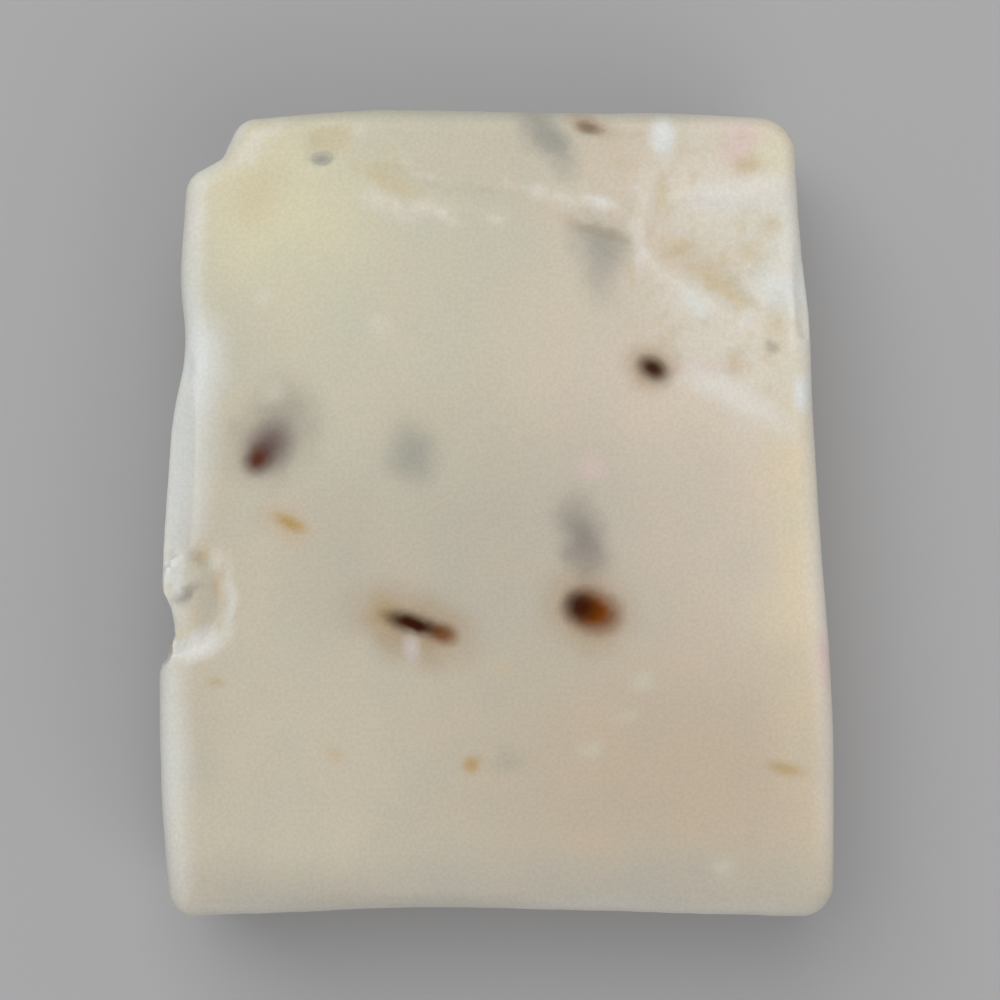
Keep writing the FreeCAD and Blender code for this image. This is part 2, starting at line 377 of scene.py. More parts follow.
def scooped(points, x, y, length, width, depth, turn, height, lean, facing, blunt):
    """Points with one egg-shaped scoop taken out.

    A point in the egg goes down the egg's own axis to its surface. The lip is smoothed over by how
    blunt it is. The drop is half of the sum of the way to go and the root of its square plus the
    lip's square, less what is left of that three lips outside.
    """
    widest = math.sqrt(1 - (SCOOP_RISE / (1 + SCOOP_RISE)) ** 2)
    reach = np.array((length / 2 / widest, width / 2 / widest, depth * (1 + SCOOP_RISE)))
    spin = np.eye(3)
    spin[:2, :2] = turned(turn)
    hinge = turned(facing + 90)[0]
    c, s = math.cos(math.radians(lean)), math.sin(math.radians(lean))
    axis = np.array((hinge[0], hinge[1], 0.0))
    skew = np.array(((0, 0, axis[1]), (0, 0, -axis[0]), (-axis[1], axis[0], 0)))
    tilt = np.eye(3) * c + skew * s + np.outer(axis, axis) * (1 - c)
    frame_axes = spin @ tilt.T
    local = (points - (x, y, height)) @ frame_axes.T
    local[:, 2] -= depth * SCOOP_RISE
    near = np.all(np.abs(local) < reach * SCOOP_NEAR, axis=1)
    unit = local[near] / reach
    ragged = 1.0 + layered(points[near], SCOOP_EDGE)
    out = np.hypot(unit[:, 0], unit[:, 1]) * ragged
    floor = -np.sqrt(np.clip(1 - out ** 2, 0.0, 1.0)) * reach[2]
    over = unit[:, 2] * reach[2] - floor
    over = np.where(out < 1.0, over, np.minimum(over, LIP_FALL * (1.0 - out)))
    lip = blunt * depth / 2
    drop = (over + np.sqrt(over ** 2 + lip ** 2)) / 2 - LIP_END * lip
    drop = np.where(unit[:, 2] < SCOOP_TOP, np.clip(drop, 0.0, None), 0.0)
    moved = points.copy()
    moved[near] -= drop[:, None] * frame_axes[2]
    return moved


def ridge(points, line, width, height):
    """How high a ridge stands at points.

    It is the height times e to the power of less the square of the distance from its line in half
    widths. The distance wanders, and noise breaks the ridge up.
    """
    nearest = np.full(len(points), np.inf)
    flat = wandering(points, *RIDGE_WANDER)[:, :2]
    for start, end in zip(line, line[1:]):
        start, run = np.array(start), np.subtract(end, start)
        share = np.clip((flat - start) @ run / (run @ run), 0.0, 1.0)
        nearest = np.minimum(nearest, np.hypot(*(flat - start - share[:, None] * run).T))
    broken = np.clip(RIDGE_LEVEL + layered(points, RIDGE_GAPS), *RIDGE_LIMITS)
    return height * broken * np.exp(-(2.0 * nearest / width) ** 2)


def torn_relief(points):
    """The lumps of the torn patches: noise less how far they are let down, from -1.35 to 0.65."""
    return layered(points, TORN_LUMPS) - TORN_DOWN


def worn(points, normals):
    """The soap's surface over its plain shape.

    Points move along their normals by gentle dents on top, and by waves of the walls further down.
    Then scoops are taken out, and ridges and torn roughness are added to the height.
    """
    top = smooth_step((points[:, 2] - FACE + TOP_REACH) / TOP_REACH)
    ends = smooth_step((points[:, 2] + TOUCH) / BASE_REACH)
    waves = WALL_IN + layered(points * WALL_STRETCH, WALL_WAVES) + layered(points, WALL_GRAIN)
    out = layered(points, DENTS) * top - waves * (1 - top) * ends - SKIN
    made = points + normals * out[:, None]
    for x, y, length, width, depth, turn in HOLLOWS:
        made = scooped(made, x, y, length, width, depth, turn, FACE, 0.0, 0.0, HOLLOW_LIP)
    for chip in RIM_CHIPS:
        made = scooped(made, *chip)
    raised = np.zeros(len(points))
    for line, width, height, _ in RIDGES:
        raised = np.maximum(raised, ridge(points, line, width, height))
    relief = torn_relief(points)
    for x, y, length, width, turn, height in TORN:
        local = (points[:, :2] - (x, y)) @ turned(turn).T / (length / 2, width / 2)
        raised += height * smooth_step(TORN_REACH - np.hypot(*local.T)) * relief
    made[:, 2] = np.minimum(made[:, 2] + raised * top, FACE + HIGHEST)
    return made


def shade(red, green, blue):
    """A screen colour from 0 to 255 as the light that it stands for."""
    screen = np.array((red, green, blue)) / 255
    light = np.where(screen <= 0.04045, screen / 12.92, ((screen + 0.055) / 1.055) ** 2.4)
    return np.append(light, 1.0)


CREAM = shade(198, 191, 173)
BUTTER = shade(201, 197, 178)
BLUSH = shade(212, 199, 184)
APRICOT = shade(217, 205, 180)
BISCUIT = shade(190, 175, 155)
DIM = shade(186, 179, 165)
STONE = shade(180, 175, 164)
CHALK = shade(219, 222, 220)
PUTTY = shade(205, 199, 188)
MILK = shade(217, 211, 200)
STRAW = shade(201, 185, 148)
OCHRE = shade(180, 152, 96)
TAN = shade(196, 176, 146)
ASH = shade(155, 154, 145)
SLATE = shade(141, 134, 126)
PLUM = shade(104, 84, 80)
UMBER = shade(52, 20, 6)
RUST = shade(112, 56, 8)
MAROON = shade(84, 40, 26)
AMBER = shade(124, 76, 30)
PEARL = shade(221, 218, 213)
TOAST = shade(166, 140, 106)
COCOA = shade(112, 88, 68)
IVORY = shade(218, 214, 201)
LEMON = shade(219, 214, 182)
SAGE = shade(172, 175, 165)
ROSE = shade(217, 193, 190)
LILAC = shade(203, 195, 194)
MINT = shade(205, 206, 190)

# The soap's broad shades: X, Y, length, width, turn, softness, strength, colour
BROAD = (
    (-16.0, 26.0, 40.0, 36.0, 0.0, 0.8, 1.0, BUTTER),
    (20.0, 10.0, 30.0, 70.0, 0.0, 0.7, 0.75, BLUSH),
    (31.0, -2.0, 9.0, 60.0, 0.0, 0.8, 0.85, APRICOT),
    (24.5, 25.5, 17.0, 30.0, 0.0, 0.5, 0.7, IVORY),
    (-22.5, 31.0, 17.0, 16.0, 0.0, 0.9, 0.6, LEMON),
    (2.0, -6.0, 34.0, 24.0, 0.0, 0.9, 0.75, DIM),
    (16.0, -26.0, 34.0, 24.0, 0.0, 0.9, 0.8, BISCUIT),
    # Darker and greyer along the foot: partly the soap's tone, partly painted shade on the rim that
    # turns away from the light
    (0.0, -40.0, 80.0, 10.0, 0.0, 0.7, 0.9, STONE),
)

# Bands along the rims, the same way. The pale ones are partly the dry soap's whiter edge and partly
# painted light: on the left, painted light from the bright sky that the left rim faces; on the
# right and at the foot, painted light on rims that turn away from the lamps. The first one, a
# darker band, runs along the head.
PAINTED_RIM_LIGHT_AND_TONES = (
    (4.0, 40.1, 58.0, 1.8, 0.0, 0.9, 0.55, SAGE),
    # Painted light from the sky on the left rim, over its whiter dry edge
    (-31.8, 6.0, 5.6, 25.0, -4.0, 0.8, 0.85, CHALK),
    (-30.9, 25.0, 2.8, 17.0, 2.0, 0.9, 0.6, CHALK),
    (-33.1, -24.0, 4.2, 35.0, 0.0, 0.9, 0.7, CHALK),
    (30.8, 25.0, 4.8, 16.0, 4.0, 0.9, 0.85, CHALK),
    # Painted light on the right and foot rims, which turn away from the lamps
    (33.3, -2.0, 3.8, 78.0, 2.0, 0.9, 0.75, PEARL),
    (0.0, -40.9, 78.0, 3.2, 0.0, 0.9, 0.75, PEARL),
)

# Smaller marks on the face, the same way. Among them are painted shade in the crease of the pit on
# the left and painted light on its lower wall.
MARKS = (
    (-30.4, 15.8, 2.8, 8.0, 0.0, 0.7, 0.85, CHALK),
    (-29.4, 14.6, 4.6, 8.0, -20.0, 0.7, 0.6, CHALK),
    (-27.6, 36.6, 9.0, 2.6, 50.0, 0.8, 0.7, CHALK),
    (-23.6, 31.6, 6.0, 4.2, 60.0, 0.9, 0.35, STRAW),
    (-16.4, 36.9, 4.0, 2.8, 40.0, 0.6, 0.45, STRAW),
    (-10.9, 33.2, 7.4, 1.9, -24.0, 0.8, 0.5, STRAW),
    (27.4, 35.6, 6.0, 6.0, 0.0, 0.9, 0.4, LEMON),
    (18.3, 26.5, 3.0, 2.0, 0.0, 0.8, 0.6, STRAW),
    (25.0, 25.8, 3.2, 1.8, 40.0, 0.8, 0.5, STRAW),
    (27.0, 28.4, 2.4, 2.0, 0.0, 0.8, 0.35, STRAW),
    (28.0, 18.8, 1.7, 3.6, 0.0, 0.9, 0.4, STRAW),
    (20.4, 25.0, 8.0, 4.2, -22.0, 0.95, 0.35, TAN),
    (10.6, 27.7, 6.2, 1.1, -18.0, 0.9, 0.55, TOAST),
    (23.8, 14.5, 2.0, 2.8, 0.0, 0.8, 0.5, TAN),
    (-20.8, -1.1, 4.8, 3.4, -30.0, 0.8, 0.5, TAN),
    (-16.1, -23.9, 1.8, 1.4, 0.0, 0.7, 0.4, TAN),
    (25.0, 34.5, 2.4, 2.2, 0.0, 0.9, 0.45, OCHRE),
    (22.5, 22.5, 6.8, 1.5, -30.0, 0.8, 0.7, STRAW),
    (-29.5, -4.4, 1.0, 1.5, 0.0, 0.9, 0.45, OCHRE),
    (4.9, 37.3, 6.6, 3.0, -51.0, 0.9, 0.85, ASH),
    (10.5, 26.6, 5.6, 3.6, -15.0, 0.8, 0.65, ASH),
    (10.1, 24.2, 3.6, 5.4, 0.0, 0.9, 0.5, ASH),
    (-17.4, 35.1, 1.8, 1.0, 0.0, 0.8, 0.7, ASH),
    (27.6, 16.3, 1.3, 1.2, 0.0, 0.8, 0.6, ASH),
    (-8.4, 5.8, 3.8, 5.2, 10.0, 0.95, 0.7, ASH),
    (1.1, -24.7, 3.0, 2.4, 0.0, 0.9, 0.3, ASH),
    # Painted shade in the crease of the pit on the left
    (-30.9, -8.0, 2.9, 1.0, 45.0, 0.8, 0.95, SLATE),
    (-27.6, -7.2, 1.0, 2.4, -6.0, 0.9, 0.6, TAN),
    (-21.9, 7.9, 8.0, 6.2, 60.0, 0.95, 0.65, SLATE),
    (8.4, -2.7, 7.0, 3.4, -74.0, 0.9, 0.85, SLATE),
    (9.2, 38.4, 3.8, 2.0, -15.0, 0.8, 0.5, TOAST),
    (9.1, -9.7, 6.8, 6.2, -30.0, 0.9, 0.75, TOAST),
    (-8.3, -11.3, 9.4, 5.6, -18.0, 0.9, 0.7, TOAST),
    (-10.8, -10.3, 3.2, 2.6, -20.0, 0.9, 0.4, OCHRE),
    (15.6, 14.5, 4.6, 3.8, -28.0, 0.9, 0.6, TOAST),
    (24.1, 36.9, 4.4, 2.5, 62.0, 0.9, 0.7, ROSE),
    (20.1, 14.2, 5.0, 2.0, 0.0, 0.9, 0.3, ROSE),
    (9.4, 4.6, 3.0, 2.2, 0.0, 0.9, 0.45, ROSE),
    (32.6, -14.7, 1.6, 4.6, 0.0, 0.8, 0.6, ROSE),
    (14.3, -16.7, 1.9, 1.6, 0.0, 0.9, 0.35, MINT),
    (12.8, -20.2, 2.2, 1.2, 20.0, 0.9, 0.28, MINT),
    (9.2, -23.2, 2.2, 1.7, 0.0, 0.9, 0.35, MINT),
    (22.8, -34.9, 2.0, 1.6, 0.0, 0.8, 0.35, MINT),
    (-23.1, 21.5, 2.0, 1.8, 0.0, 0.9, 0.4, MILK),
    (-11.6, 18.5, 2.0, 1.8, 0.0, 0.9, 0.35, MILK),
    (-22.0, 11.9, 1.8, 1.6, 0.0, 0.9, 0.3, MILK),
    (-13.7, 37.8, 1.4, 1.2, 0.0, 0.9, 0.4, MILK),
    (-27.9, -4.8, 1.8, 1.8, 0.0, 0.9, 0.6, MILK),
    (-26.4, -9.0, 1.0, 6.2, 0.0, 0.9, 0.5, CHALK),
    # Painted light on the lower wall of the pit on the left
    (-29.7, -12.9, 5.0, 2.4, 14.0, 0.7, 0.9, CHALK),
    (-32.2, -5.6, 2.4, 4.6, 8.0, 0.8, 0.7, CHALK),
    (0.8, -15.5, 1.8, 1.2, 0.0, 0.8, 0.35, STRAW),
)

# Pale crests and crumbs of the torn patch: partly the torn soap's paler colour, partly painted
# highlight where they catch the light. Near the end come painted light on the lower wall of the pit
# on the left, and its floor's tint.
PALE_CRESTS_AND_PAINTED_LIGHT = (
    (21.6, 31.5, 5.5, 2.2, -4.0, 0.9, 0.5, PEARL),
    (24.6, 31.7, 9.0, 3.2, 2.0, 0.9, 0.65, PEARL),
    (29.7, 27.7, 2.4, 5.0, 0.0, 0.9, 0.6, PEARL),
    (28.2, 22.2, 5.0, 3.6, -20.0, 0.9, 0.75, CHALK),
    (19.8, 21.0, 3.4, 1.8, -32.0, 0.9, 0.6, CHALK),
    (25.0, 19.2, 2.0, 1.6, 0.0, 0.9, 0.6, PEARL),
    (10.3, 30.7, 2.2, 1.2, -5.0, 0.9, 0.7, PEARL),
    (14.2, 25.8, 1.3, 4.0, 10.0, 0.9, 0.5, PEARL),
    (23.8, 11.6, 9.5, 2.4, -28.0, 0.9, 0.6, PEARL),
    (30.6, 11.7, 1.9, 3.2, 0.0, 0.8, 0.95, CHALK),
    (-29.8, 31.0, 2.0, 9.0, 0.0, 0.9, 0.6, PEARL),
    (-24.0, 36.4, 7.0, 1.6, 40.0, 0.9, 0.5, PEARL),
    # Painted light on the pit's lower wall, which faces the light
    (-29.6, -13.2, 4.0, 2.0, 14.0, 0.9, 0.7, PEARL),
    (-29.2, -9.3, 2.8, 5.0, 6.0, 0.9, 0.55, DIM),
)

# The bits' cores, painted through soap and bit alike so that they fade into each other
CORES = (
    (15.5, 14.3, 3.3, 2.3, -28.0, 0.9, 0.65, COCOA),
    (15.5, 14.35, 2.4, 1.6, -28.0, 0.8, 0.95, UMBER),
    (-22.7, 6.5, 4.2, 3.4, 50.0, 0.9, 0.9, PLUM),
    (-23.7, 5.3, 2.5, 2.0, 50.0, 0.9, 0.95, MAROON),
    (-5.3, -12.0, 2.7, 1.8, -24.0, 0.7, 0.9, AMBER),
    (-8.3, -11.0, 5.3, 1.7, -17.0, 0.7, 1.0, UMBER),
    (9.6, -9.8, 4.8, 3.5, -20.0, 0.7, 1.0, RUST),
    (8.3, -9.3, 2.9, 2.8, 0.0, 0.8, 0.95, UMBER),
    (9.1, 38.2, 2.4, 1.0, -12.0, 0.8, 0.75, COCOA),
    (-17.3, 35.1, 1.7, 1.0, 0.0, 0.8, 0.8, ASH),
    (-20.5, -1.0, 2.9, 1.2, -28.0, 0.8, 0.95, OCHRE),
    (-2.5, -25.0, 1.6, 1.5, 20.0, 0.8, 0.8, OCHRE),
    (28.6, -25.4, 3.2, 1.2, -12.0, 0.9, 0.65, OCHRE),
    (-27.8, -16.8, 1.6, 0.8, -8.0, 0.8, 0.4, OCHRE),
    (16.5, 37.3, 2.3, 3.5, 0.0, 0.7, 0.95, CHALK),
    (-8.5, -13.4, 1.6, 2.4, 8.0, 0.8, 0.75, LILAC),
)

# Crumbs of the torn patches: lumps or dips, where they begin, how far they take to come up, how
# strong they are by the patch's height, and their colour
CRUMBS = (
    (1.0, 0.05, 0.35, 4.0, MILK),
    (-1.0, 0.45, 0.4, 2.5, STRAW),
)

# How far down the sides each kind of mark reaches
BROAD_DEEP = 60.0
BAND_DEEP = 6.0
MARK_DEEP = 3.0
CORE_DEEP = 2.0

# How strong the soap's mottle is, how far its warmth swings in red, green and blue, and how strong
# the sides' own colour is and the height that it begins at
MOTTLE_STRENGTH = 0.35
WARM_SWING = (0.030, 0.006, -0.006, 0.0)
SIDE_STRENGTH = 0.35
SIDE_FROM = 20.0


def blob(points, x, y, length, width, turn, soft, strength, deep):
    """How much an ellipse of the face covers points.

    It is its strength times a smooth step, which falls from 1 to 0 over its soft edge as the
    distance from its middle, in half sizes and in depths, passes 1.
    """
    local = (points[:, :2] - (x, y)) @ turned(turn).T / (length / 2, width / 2)
    reach = np.sqrt((local ** 2).sum(axis=1) + ((points[:, 2] - FACE) / deep) ** 2)
    return strength * smooth_step((1 + soft - reach) / (2 * soft))


def mixed(colour, tint, cover):
    """Colours turned towards a tint by a cover from 0 to 1 at each point."""
    return colour + (tint - colour) * cover[:, None]


def painted(colour, points, marks, deep):
    """Colours with marks painted over them, one after another."""
    for mark in marks:
        colour = mixed(colour, mark[-1], blob(points, *mark[:-1], deep))
    return colour


def soap_shade(points):
    """The soap's colour at points.

    Broad shades come first, then bands along the rims, marks, crumbs of the torn patches, ridges
    and crests, and the bits' cores, each mixed over what is there. Painted shade darkens the foot
    and the crease of the pit on the left. Painted light lifts the rims and the pit's lower wall,
    and the ridges and crests are partly painted highlight.
    """
    mottled = smooth_step(0.5 + layered(points, MOTTLE))
    colour = np.tile(CREAM, (len(points), 1))
    colour = mixed(colour, DIM, MOTTLE_STRENGTH * mottled)
    colour = painted(colour, wandering(points, *BROAD_WANDER), BROAD, BROAD_DEEP)
    warm = smooth_step(0.5 + layered(points, WARMTH))
    colour = colour * (1 + (warm - 0.5)[:, None] * WARM_SWING)
    # Bands along the rims, partly painted light
    colour = painted(colour, wandering(points, *BAND_WANDER), PAINTED_RIM_LIGHT_AND_TONES, BAND_DEEP)
    ragged = wandering(wandering(points, *MARK_WANDER), *MARK_FRINGE)
    colour = painted(colour, ragged, MARKS, MARK_DEEP)
    relief = torn_relief(points)
    for x, y, length, width, turn, height in TORN:
        inside = blob(points, x, y, length, width, turn, TORN_SOFT, height, MARK_DEEP)
        for side, start, run, strength, tint in CRUMBS:
            crumbs = smooth_step((side * relief - start) / run)
            colour = mixed(colour, tint, strength * inside * crumbs)
    # The ridges are painted paler: partly the torn soap's colour, partly painted highlight on their
    # crests
    for line, width, _, paleness_and_highlight in RIDGES:
        colour = mixed(colour, MILK, ridge(points, line, width * RIDGE_SPREAD, paleness_and_highlight))
    # Pale crests, partly painted highlight, and painted light in the pit
    colour = painted(colour, ragged, PALE_CRESTS_AND_PAINTED_LIGHT, MARK_DEEP)
    colour = painted(colour, wandering(points, *CORE_WANDER), CORES, CORE_DEEP)
    return mixed(colour, PUTTY, SIDE_STRENGTH * smooth_step((SIDE_FROM - points[:, 2]) / SIDE_FROM))


def mesh_object(name, points, faces, look):
    """An object of points in millimetres and faces as lists of their numbers.

    It has the soap's shade at each point as an attribute.
    """
    mesh = bpy.data.meshes.new(name)
    mesh.from_pydata((points * MM).tolist(), [], faces)
    mesh.polygons.foreach_set("use_smooth", [True] * len(mesh.polygons))
    mesh.materials.append(look)
    shades = mesh.attributes.new("shade", "FLOAT_COLOR", "POINT")
    shades.data.foreach_set("color", soap_shade(points).ravel())
    mesh.update()
    made = bpy.data.objects.new(name, mesh)
    bpy.context.scene.collection.objects.link(made)
    return made


def eased(count, dense_from, extra):
    """Shares from 0 to 1 in a number of steps, closer together after a share of the way."""
    at = np.linspace(0.0, 1.0, CLOSER_SAMPLES)
    weight = np.cumsum(1.0 + extra * smooth_step((at - dense_from) / CLOSER_RUN))
    weight = (weight - weight[0]) / (weight[-1] - weight[0])
    return np.interp(np.linspace(0.0, 1.0, count + 1), weight, at)


def around(number):
    """The numbers round the edge of a grid, from its first corner and by its first side."""
    return np.concatenate((number[:-1, 0], number[-1, :-1], number[:0:-1, -1], number[0, :0:-1]))


def cells(number):
    """The four-sided faces of a grid of point numbers, one row each."""
    corners = (number[:-1, :-1], number[1:, :-1], number[1:, 1:], number[:-1, 1:])
    return np.stack(corners, axis=-1).reshape(-1, 4)


def band(inner, outer):
    """The four-sided faces between two rings of point numbers, one row each."""
    return np.column_stack((inner, outer, np.roll(outer, -1), np.roll(inner, -1)))


class Bar:
    """The soap's plain shape: its outline sampled round, and rings of it at insets and heights."""

    def __init__(self):
        across, along = eased(ACROSS, *ACROSS_CLOSER), eased(ALONG, *ALONG_CLOSER)
        foot, right, head, left = outline()
        runs = [
            spaced(foot, across), spaced(right, along),
            spaced(head, 1 - across[::-1]), spaced(left, 1 - along[::-1]),
        ]
        self.edge = np.concatenate([points[:-1] for points, _ in runs])
        self.ray = np.concatenate([rays[:-1] for _, rays in runs])
        self.runs = runs

    def inset(self, by):
        """The outline moved in by a distance."""
        return self.edge - self.ray * by

    def grid(self, by, step=1):
        """A grid that fills the outline moved in by a distance."""
        foot, right, head, left = [(points - rays * by)[::step] for points, rays in self.runs]
        return patch(foot, right, head[::-1], left[::-1])


def bar_profile():
    """How each ring round the bar lies: inset, height and how far its normal is turned down."""
    profile = []
    for k in range(1, RIM_RINGS + 1):
        angle = math.pi / 2 * k / RIM_RINGS
        profile.append((RIM * (1 - math.sin(angle)), FACE - RIM * (1 - math.cos(angle)), angle))
    for k in range(1, WALL_RINGS + 1):
        height = FACE - RIM + (BEVEL - FACE + RIM) * k / WALL_RINGS
        profile.append((0.0, height, math.pi / 2))
    for k in range(1, BEVEL_RINGS + 1):
        angle = math.pi / 2 * (1 + k / BEVEL_RINGS)
        profile.append((BEVEL * (1 - math.sin(angle)), BEVEL * (1 + math.cos(angle)), angle))
    return profile


def bar_mesh(look):
    """The soap as one closed mesh.

    A grid makes the face, rings go down the rim, the wall and the bevel, and a coarser grid makes
    the underside.
    """
    bar = Bar()
    face = bar.grid(RIM)
    total = face.shape[0] * face.shape[1]
    number = np.arange(total).reshape(face.shape[:2])
    points = [np.column_stack((face.reshape(-1, 2), np.full(total, FACE)))]
    normals = [np.tile((0.0, 0.0, 1.0), (total, 1))]
    faces = [cells(number)]
    ring = around(number)
    count = len(ring)
    for by, height, angle in bar_profile():
        points.append(np.column_stack((bar.inset(by), np.full(count, height))))
        upward = np.full(count, math.cos(angle))
        normals.append(np.column_stack((bar.ray * math.sin(angle), upward)))
        following = np.arange(total, total + count)
        faces.append(band(ring, following))
        ring = following
        total += count
    under = bar.grid(BEVEL + UNDER_IN, UNDER_STEP)
    under_total = under.shape[0] * under.shape[1]
    under_number = np.arange(total, total + under_total).reshape(under.shape[:2])
    points.append(np.column_stack((under.reshape(-1, 2), np.zeros(under_total))))
    normals.append(np.tile((0.0, 0.0, -1.0), (under_total, 1)))
    faces.append(cells(under_number)[:, ::-1])
    rim = around(under_number)
    steps = np.arange(len(rim))[:, None] * UNDER_STEP + np.arange(UNDER_STEP, -1, -1)
    strip = np.column_stack((rim, np.roll(rim, -1), ring[steps % count]))
    points, normals = np.concatenate(points), np.concatenate(normals)
    made = worn(points, normals)
    low = points[:, 2] < UNDER_FROM
    waves = UNDER_WAVE * (1 + layered(points[low], UNDER_WAVES))
    made[low, 2] = points[low, 2] + waves * (points[low, 2] < TOUCH)
    made[:, 2] -= made[:, 2].min()
    return mesh_object("soap", made, np.concatenate(faces).tolist() + strip.tolist(), look)


def bit_mesh(name, place, length, width, thickness, lift, seed, look):
    """A bit set into the surface.

    Its upper side follows the soap. It is raised by its lift times the square of 1 less the
    squared share of the way to its edge, or lies evenly under the skin where the lift is negative.
    Its lower side is a rough bowl. place(points) gives the surface and its outward direction under
    points of the bit's own plane.
    """
    shares = np.sin(np.linspace(0.0, math.pi / 2, BIT_RINGS + 1))[1:]
    angles = np.linspace(0.0, 2 * math.pi, BIT_SPOKES, endpoint=False)
    circle = np.column_stack((np.cos(angles), np.sin(angles), np.full(BIT_SPOKES, float(seed))))
    ragged = 1.0 + layered(circle, BIT_EDGE, seed)
    rim = circle[:, :2] * ragged[:, None] * (length / 2, width / 2)
    flat = np.concatenate((np.zeros((1, 2)), (shares[:, None, None] * rim).reshape(-1, 2)))
    share = np.append(0.0, np.repeat(shares, BIT_SPOKES))
    surface, outward = place(flat)
    wrinkles = np.column_stack((flat * WRINKLE_STRETCH, np.full(len(flat), 3.0 * seed)))
    grain = 1.0 + layered(wrinkles, BIT_GRAIN, seed)
    domed = lift * (1.0 - share ** 2) ** 2 * grain if lift > 0.0 else lift
    top = surface + outward * (domed - EDGE_SINK * share ** 4)[:, None]
    bowl = thickness * np.sqrt(1.0 - np.minimum(share, 1.0) ** 2)
    bowl = bowl * (BOWL_SMOOTH + (1.0 - BOWL_SMOOTH) * grain) + EDGE_DEPTH
    bottom = surface - outward * bowl[:, None]
    edge_from = len(flat) - BIT_SPOKES
    number = np.arange(1, len(flat)).reshape(BIT_RINGS, BIT_SPOKES)
    fan = np.column_stack((np.zeros(BIT_SPOKES, int), number[0], np.roll(number[0], -1)))
    faces = []
    for upper in (fan, np.concatenate([band(*pair) for pair in zip(number, number[1:])])):
        lower = np.where(upper < edge_from, upper + len(flat), upper)[:, ::-1]
        faces += upper.tolist() + lower.tolist()
    return mesh_object(name, np.concatenate((top, bottom[:edge_from])), faces, look)


def on_face(x, y, turn):
    """The face and its rounded rim under points round (X, Y), turned by an angle."""
    sides = outline()
    edge = np.concatenate([points for points, _ in sides])
    rays = np.concatenate([normals for _, normals in sides])

    def place(points):
        flat = points @ turned(turn) + (x, y)
        nearest = np.argmin(((flat[:, None] - edge[None]) ** 2).sum(axis=2), axis=1)
        ray = rays[nearest]
        inside = ((edge[nearest] - flat) * ray).sum(axis=1)
        over = np.clip(1 - inside / RIM, 0.0, FARTHEST_OVER)
        up = np.sqrt(1 - over ** 2)
        base = np.column_stack((flat, FACE - RIM * (1 - up)))
        out = np.column_stack((ray * over[:, None], up))
        return worn(base, out), out

    return place


def on_right_rim(y, angle):
    """The rim of the right side under points round Y.

    Their second axis goes over the rim, from an angle down from flat.
    """
    edge, rays = spaced(outline()[1], np.linspace(0.0, 1.0, SIDE_SAMPLES))

    def place(points):
        row = np.searchsorted(edge[:, 1], y + points[:, 0]).clip(0, SIDE_SAMPLES - 1)
        over = math.radians(angle) + points[:, 1] / RIM
        ray = rays[row]
        base = edge[row] - ray * (RIM * (1 - np.sin(over)))[:, None]
        base = np.column_stack((base, FACE - RIM * (1 - np.cos(over))))
        out = np.column_stack((ray * np.sin(over)[:, None], np.cos(over)))
        return worn(base, out), out

    return place


# The spans of a noise node's values that patterns use: nearly all of them, or only the middle
MOST = (0.3, 0.7)
MIDDLE = (0.35, 0.65)

# Materials. Each pattern is a feature size in millimetres, with its detail: the grain of the shade
# and how far it swings, the fine relief, the coarse relief and its share, and the unevenness of the
# roughness and its swing. Soft light spreads by shares of a distance in red, green and blue.
GRAIN = (0.35, 1.0)
GRAIN_SWING = 0.035
FINE_RELIEF = (0.5, 3.0)
COARSE_RELIEF = (2.6, 2.0)
COARSE_SHARE = 0.8
UNEVENNESS = (3.0, 3.0)
ROUGHNESS_SWING = 0.06
SOFT_LIGHT_DISTANCE = 1.2
SOFT_LIGHT_SHARES = (1.0, 0.8, 0.6)
CLOUD = (0.8, 4.0)
MATT = 0.9


class Wire:
    """One socket of a material's nodes. Sums and products of wires add Math nodes."""

    def __init__(self, tree, socket):
        self.tree = tree
        self.socket = socket

    def node(self, kind, settings, inputs, output=0):
        """Adds a node of a kind: its settings first, then its inputs by name or number."""
        made = self.tree.nodes.new(kind)
        for name, value in settings.items():
            setattr(made, name, value)
        for name, value in inputs.items():
            if isinstance(value, Wire):
                self.tree.links.new(value.socket, made.inputs[name])
            else:
                made.inputs[name].default_value = value
        return Wire(self.tree, made.outputs[output])

    def math(self, operation, *values):
        """Adds a Math node."""
        return self.node("ShaderNodeMath", {"operation": operation}, dict(enumerate(values)))

    def __add__(self, other):
        return self.math("ADD", self, other)

    def __radd__(self, other):
        return self.math("ADD", other, self)

    def __mul__(self, other):
        return self.math("MULTIPLY", self, other)

    def __rmul__(self, other):
        return self.math("MULTIPLY", other, self)

    def noise(self, size, detail):
        """Noise with features of a size in millimetres, about 0.5 on average."""
        inputs = {"Vector": self, "Scale": 1 / (size * MM), "Detail": detail}
        return self.node("ShaderNodeTexNoise", {}, inputs)

    def ranged(self, span, to_low=0.0, to_high=1.0):
        """A smooth step from one value to another, over a span of this wire's values."""
        inputs = {"Value": self, 1: span[0], 2: span[1], 3: to_low, 4: to_high}
        return self.node("ShaderNodeMapRange", {"interpolation_type": "SMOOTHSTEP"}, inputs)


def grained(at):
    """The shade worked out over the mesh, with a fine grain."""
    worked_out = at.node("ShaderNodeAttribute", {"attribute_name": "shade"}, {}, "Color")
    grain = at.noise(*GRAIN).ranged(MOST, 1 - GRAIN_SWING, 1 + GRAIN_SWING)
    inputs = {0: worked_out, "Scale": grain}
    return at.node("ShaderNodeVectorMath", {"operation": "SCALE"}, inputs)


